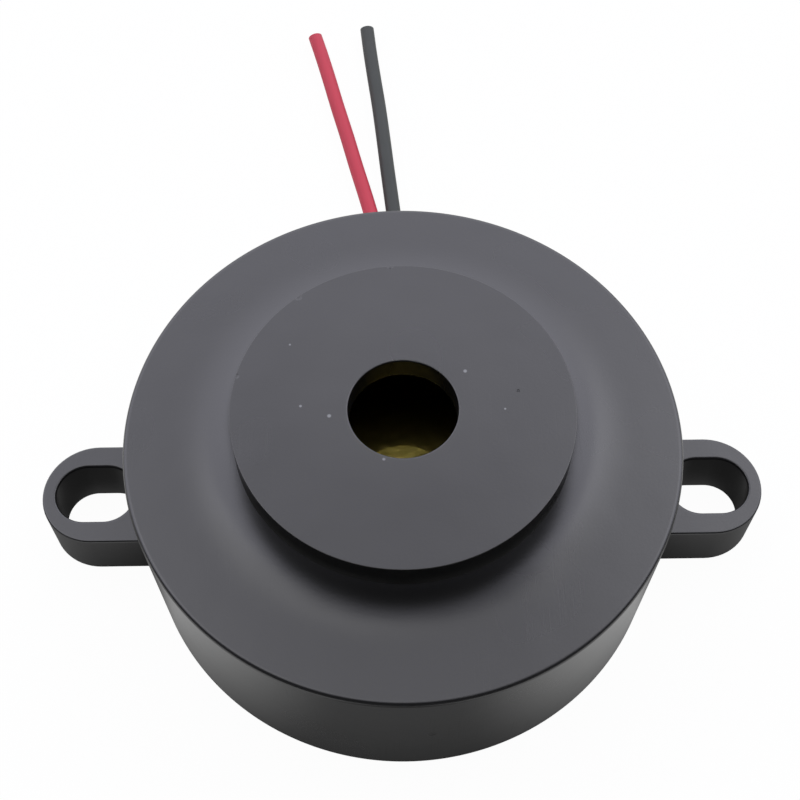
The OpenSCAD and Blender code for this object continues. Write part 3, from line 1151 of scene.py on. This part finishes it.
@dataclass
class Softbox:
    """One soft area lamp, aimed at the middle of the object. Its sizes are metres."""

    name: str
    azimuth: float
    elevation: float
    distance: float
    size: float
    power: float

    def build(self) -> Object:
        """Places the lamp. Azimuth 0 is in front, at -Y, and 90 is on the right, at +X.

        Returns:
            The lamp.
        """
        turn, rise = math.radians(self.azimuth), math.radians(self.elevation)
        level = math.cos(rise)
        out = Vector((math.sin(turn) * level, -math.cos(turn) * level, math.sin(rise)))
        lamp = bpy.data.lights.new(self.name, "AREA")
        lamp.shape = "DISK"
        lamp.size = self.size
        lamp.energy = self.power
        return put(self.name, lamp, out * self.distance, out.to_track_quat("Z", "Y"))


@dataclass
class Snoot:
    """A narrow lamp that looks down the port and lights the sounder's disc inside.

    Its target and its reach are millimetres, and its distance and radius metres.
    """

    name: str = "port_snoot"
    behind: float = 4.3
    target: Point = (0.0, 2.9, 18.5)
    distance: float = 0.3
    reach_mm: float = 1.9
    edge: float = 0.3
    radius: float = 0.008
    power: float = 3.6

    def build(self) -> Object:
        """Places the lamp above the target, leaning back, with a beam narrower than the port.

        Returns:
            The lamp.
        """
        lean = math.radians(self.behind)
        out = Vector((0.0, math.sin(lean), math.cos(lean)))
        lamp = bpy.data.lights.new(self.name, "SPOT")
        lamp.shadow_soft_size = self.radius
        lamp.spot_size = 2 * math.atan(self.reach_mm * MM / self.distance)
        lamp.spot_blend = self.edge
        lamp.energy = self.power
        place = Vector(self.target) * MM + out * self.distance
        return put(self.name, lamp, place, out.to_track_quat("Z", "Y"))


@dataclass
class Studio:
    """Camera, pale floor, soft lamps and the room's own low light.

    The camera's places are metres, and the floor's sizes millimetres. A name in z is a span
    of heights of a direction, from -1 straight down to 1 straight up.
    """

    lamps: Sequence[Softbox | Snoot]
    camera_at: Point = (-0.001072, -0.049406, 0.106506)
    camera_aim: Point = (-0.000041, 0.011233, 0.0)
    camera_roll: float = 0.09
    lens_mm: float = 62.2
    sensor_mm: float = 36.0
    clip_m: Span = (0.01, 10.0)
    front_light: float = 0.036
    front_low: float = 0.13
    front_z: Span = (0.5, 0.8)
    back_light: float = 2.16
    back_tilt: float = 28.5
    back_edge: Span = (0.10, 0.42)
    high_z: Span = (0.79, 0.96)
    high_share: float = 0.365
    low_z: Span = (0.0, 0.3)
    low_share: float = 0.1
    under_z: Span = (-0.02, -0.1)
    under_light: float = 0.8
    daylight: str = "#f1f1ff"
    paper: str = "#f2f2f0"
    floor_half: float = 2000.0
    seen_white: float = 0.97
    # painted shade in the floor's glow that gloss sees: its fall near the object, its contact
    # darkening and its strip under the ears
    shade_shift: float = 1.0
    shade_mm: Span = (5.5, 26.5)
    shade_light: Span = (0.185, 1.0)
    open_mm: float = 20.3
    contact_mm: float = 6.0
    contact_samples: int = 8
    ear_shade: float = 0.7
    ear_front: Span = (-10.0, -7.0)
    ear_back: Span = (1.0, 3.0)

    def camera(self) -> Object:
        """Makes the camera and aims it.

        Returns:
            The camera.
        """
        data = bpy.data.cameras.new("camera")
        data.sensor_width = self.sensor_mm
        data.lens = self.lens_mm
        data.clip_start, data.clip_end = self.clip_m
        at = Vector(self.camera_at)
        view = Vector(self.camera_aim) - at
        roll = Quaternion((0, 0, 1), math.radians(self.camera_roll))
        made = put("camera", data, at, view.to_track_quat("-Z", "Y") @ roll)
        bpy.context.scene.camera = made
        return made

    def painted_floor_shade(self, tree: NodeTree) -> Node:
        """Gives how bright the floor looks in the shell's gloss: the nearer, the darker.

        Formula: a smooth step over the length of (x + shade_shift, max(y, 0)), times the open
        share of the sky, times 1 less the shade of the strip under the ears. All of it is painted
        shade, which stands in for the shadow of the shell and its ears on the floor.

        Args:
            tree: the floor's nodes.

        Returns:
            The node that gives the brightness.
        """
        parts = add_node(tree, "SeparateXYZ", (millimetres(tree),)).outputs
        aside = add_node(tree, "Math", (parts["X"], self.shade_shift), operation="ADD")
        back = add_node(tree, "Math", (parts["Y"], 0.0), operation="MAXIMUM")
        away = (add_node(tree, "CombineXYZ", (aside, back)),)
        distance = add_node(tree, "VectorMath", away, operation="LENGTH").outputs["Value"]
        # painted shade: the floor's glow dims towards the object and in a strip under the ears
        far, before, behind = (
            add_node(tree, "MapRange", step, interpolation_type="SMOOTHSTEP")
            for step in (
                (distance, *self.shade_mm, *self.shade_light),
                (parts["Y"], *self.ear_front, 0.0, self.ear_shade),
                (parts["Y"], *self.ear_back, 1.0, 0.0),
            )
        )
        # painted shade: ambient occlusion darkens the glow where the floor meets the shell
        near = {"Distance": self.contact_mm * MM}
        painted_contact_shade = add_node(tree, "AmbientOcclusion", near, samples=self.contact_samples)
        light = add_node(tree, "Math", (far, painted_contact_shade.outputs["AO"]), operation="MULTIPLY")
        # painted shadow of the ears: the strip under them dims the glow
        painted_ear_shadow = add_node(tree, "Math", (before, behind), operation="MULTIPLY")
        kept = add_node(tree, "Math", (1.0, painted_ear_shadow), operation="SUBTRACT")
        return add_node(tree, "Math", (light, kept), operation="MULTIPLY")

    def floor(self) -> Object:
        """A white sweep under the object, which stays white to the eye and keeps a faint shadow.

        It is clear from below, and inside open_mm of the body axis, which lights the underside.
        In the gloss of the shell its glow carries painted shade near the object.

        Returns:
            The floor.
        """
        half = self.floor_half
        points = np.array([[-half, -half, 0], [half, -half, 0], [half, half, 0], [-half, half, 0]])
        made = new_piece("floor", points, [[0, 1, 2, 3]])
        paper = bpy.data.materials.new("white_sweep_paper")
        paper.use_nodes = True
        tree = paper.node_tree
        tree.nodes.clear()
        path = add_node(tree, "LightPath").outputs
        seen, glossy = path["Is Camera Ray"], path["Is Glossy Ray"]
        # painted shade: gloss sees the floor's glow darkened near the object and under the ears
        level = {0: seen, 2: self.painted_floor_shade(tree), 3: 1.0}
        strength = add_node(tree, "Mix", level, data_type="FLOAT")
        lit = add_node(tree, "BsdfDiffuse", {"Color": srgb(self.paper)})
        white = add_node(tree, "Emission", {"Color": (1, 1, 1, 1), "Strength": strength})
        asked = add_node(tree, "Math", (seen, glossy), operation="MAXIMUM")
        amount = add_node(tree, "Math", (asked, self.seen_white), operation="MULTIPLY")
        above = add_node(tree, "MixShader", (amount, lit, white))
        below = add_node(tree, "NewGeometry").outputs["Backfacing"]
        away = add_node(tree, "VectorMath", (millimetres(tree),), operation="LENGTH")
        inside = (away.outputs["Value"], self.open_mm)
        hidden = add_node(tree, "Math", inside, operation="LESS_THAN")
        gone = add_node(tree, "Math", (below, hidden), operation="MAXIMUM")
        clear = add_node(tree, "BsdfTransparent")
        both = add_node(tree, "MixShader", (gone, above, clear))
        add_node(tree, "OutputMaterial", {"Surface": both})
        made.data.materials.append(paper)
        return made

    def room(self) -> None:
        """A pale half dome behind the object, a dark one in front, and white to the camera.

        Formula: a smooth step from the front's light to the back's, over how far a direction
        leans backwards, times a share that falls near the top and one that falls near the
        floor. Below the floor it is the low light that the underside gets.
        """
        world = bpy.data.worlds.new("room")
        bpy.context.scene.world = world
        world.use_nodes = True
        tree = world.node_tree
        tree.nodes.clear()
        seen = add_node(tree, "LightPath").outputs["Is Camera Ray"]
        towards = add_node(tree, "TexCoord").outputs["Generated"]
        tilt = math.radians(self.back_tilt)
        facing = {0: towards, 1: (0.0, math.cos(tilt), math.sin(tilt))}
        backward = add_node(tree, "VectorMath", facing, operation="DOT_PRODUCT").outputs["Value"]
        height = add_node(tree, "SeparateXYZ", (towards,)).outputs["Z"]
        front, high, low = (
            add_node(tree, "MapRange", (height, *step), interpolation_type="SMOOTHSTEP")
            for step in (
                (*self.front_z, self.front_low, self.front_light),
                (*self.high_z, 1.0, self.high_share),
                (*self.low_z, self.low_share, 1.0),
            )
        )
        spread = (backward, *self.back_edge, front, self.back_light)
        dome = add_node(tree, "MapRange", spread, interpolation_type="SMOOTHSTEP")
        both = add_node(tree, "Math", (high, low), operation="MULTIPLY")
        shown = add_node(tree, "Math", (dome, both), operation="MULTIPLY")
        under = add_node(tree, "MapRange", (height, *self.under_z, 0.0, self.under_light))
        level = add_node(tree, "Math", (shown, under), operation="MAXIMUM")
        light = {"Color": srgb(self.daylight), "Strength": level}
        white = {"Color": (1, 1, 1, 1), "Strength": 1.0}
        skies = [add_node(tree, "Background", sky) for sky in (light, white)]
        add_node(tree, "OutputWorld", {"Surface": add_node(tree, "MixShader", (seen, *skies))})

    def build(self) -> None:
        """Makes the floor, the room and the lamps, and sets the plain view transform."""
        bpy.context.scene.view_settings.view_transform = "Standard"
        self.floor()
        self.room()
        for lamp in self.lamps:
            lamp.build()


# ---------------------------------------------------------------- the whole object

DUST: tuple[Spot, ...] = (
    (4.65, 3.1, 18.5, 0.17), (-5.4, -0.55, 18.5, 0.18), (-7.5, 0.3, 18.5, 0.13),
    (-1.45, -4.15, 18.5, 0.14), (7.45, -0.15, 18.5, 0.1), (-8.4, 5.6, 18.5, 0.1),
    (4.3, -20.7, 14.65, 0.14),
)
NICKS: tuple[Spot, ...] = (
    (-7.85, 9.85, 18.45, 0.3), (-0.8, 12.6, 18.45, 0.25), (8.5, 1.35, 18.5, 0.12),
    (1.8, -20.9, 7.5, 0.35), (-12.3, 2.9, 18.4, 0.25), (17.3, 12.1, 14.6, 0.3),
)
TRACKS: tuple[Spot, ...] = (
    (-2.5, -1.25, 3.2, 0.3), (5.0, 1.25, 1.6, 0.3), (-2.5, -6.0, 0.35, 4.2),
    (2.5, -6.0, 4.6, 0.3), (7.5, 5.5, 0.35, 4.4), (-7.5, 4.0, 0.35, 6.2),
    (0.0, 8.6, 7.8, 0.3), (8.9, -2.4, 0.4, 4.0),
)
TINNED = TinnedCopper("tinned_copper")
SOLDER = ReflowedSolder("reflowed_solder")
HOUSING_ABS = MouldedAbs("satin_moulded_abs", dust=DUST, nicks=NICKS)
COVER_ABS = MouldedAbs("cover_moulded_abs", colour="#1d1d1f", roughness=0.45, specular=0.5)
RED_PVC = ExtrudedPvc("red_extruded_pvc", "#c43b4b", "#bc3749", diameter=1.4)
BLACK_PVC = ExtrudedPvc("black_extruded_pvc", "#414440", "#393c39", diameter=1.4)

# For each part on the board: its body, its colour, the way it lies, how far the plating
# reaches in from its ends in millimetres, and its roughness.
PARTS: dict[str, tuple[str, str, Axis, float, float]] = {
    "drive_transistor": ("moulded_epoxy", "#26272a", Axis.Y, 0.55, 0.55),
    "input_diode": ("moulded_epoxy", "#26272a", Axis.X, 0.5, 0.55),
    "supply_capacitor": ("fired_ceramic", "#b59a6d", Axis.Y, 0.35, 0.5),
    "base_resistor": ("fired_glaze", "#202124", Axis.X, 0.35, 0.25),
    "feedback_resistor": ("fired_glaze", "#202124", Axis.X, 0.35, 0.25),
    "load_resistor": ("fired_glaze", "#202124", Axis.Y, 0.35, 0.25),
}
LAMPS: tuple[Softbox | Snoot, ...] = (
    Softbox("right_back_softbox", 126.8, 59.0, 0.6, 0.342, 0.262),
    Softbox("left_back_softbox", 245.3, 67.6, 0.6, 0.299, 0.25),
    Softbox("overhead_softbox", 180.0, 84.0, 0.6, 0.17, 0.07),
    Snoot(),
)


def node_finishes() -> dict[str, Finish]:
    """Names the finish of each piece that keeps its CAD shape.

    Returns:
        The finish of each node.
    """
    return {
        "back_cover": COVER_ABS,
        "seat_bead": CuredSilicone("cured_silicone"),
        "brass_disc": RolledBrass("rolled_brass"),
        "piezo_ceramic": SilveredCeramic("silvered_ceramic"),
        "circuit_board": SolderMaskedLaminate("solder_masked_laminate", tracks=TRACKS),
        **{node: TerminatedPart.on(node, *look) for node, look in PARTS.items()},
        "main_jumper": ExtrudedPvc("red_jumper_pvc", "#b23b34", "#a83630"),
        "feedback_jumper": ExtrudedPvc("blue_jumper_pvc", "#3a62a8", "#345a9c"),
        "ground_jumper": ExtrudedPvc("black_jumper_pvc", "#2a2b2e", "#252629"),
        **dict.fromkeys(("sounder_solder", "board_solder", "lead_solder"), SOLDER),
        **dict.fromkeys(("red_strands", "black_strands"), TINNED),
    }


def report(piece: Object) -> None:
    """Logs a finished piece with its faces and its material."""
    faces, material = len(piece.data.polygons), piece.data.materials[0].name
    LOG.info("%s: %d faces, %s", piece.name, faces, material)


def main() -> None:
    """Builds the camera, the leads, the housing, the inner pieces and the studio."""
    logging.basicConfig(level=logging.INFO, format="%(name)s: %(message)s")
    studio = Studio(LAMPS)
    studio.camera()
    for colour, route, pvc in (("red", RED_ROUTE, RED_PVC), ("black", BLACK_ROUTE, BLACK_PVC)):
        report(FlyingLead(colour, route, route[EXIT], pvc, TINNED).build())
    report(MouldedHousing.from_frame(HOUSING_ABS).build())
    for node, finish in node_finishes().items():
        piece = frame["nodes"][node]
        piece.material_slots[0].material = finish.material()
        report(piece)
    studio.build()


if __name__ == "__main__":
    main()
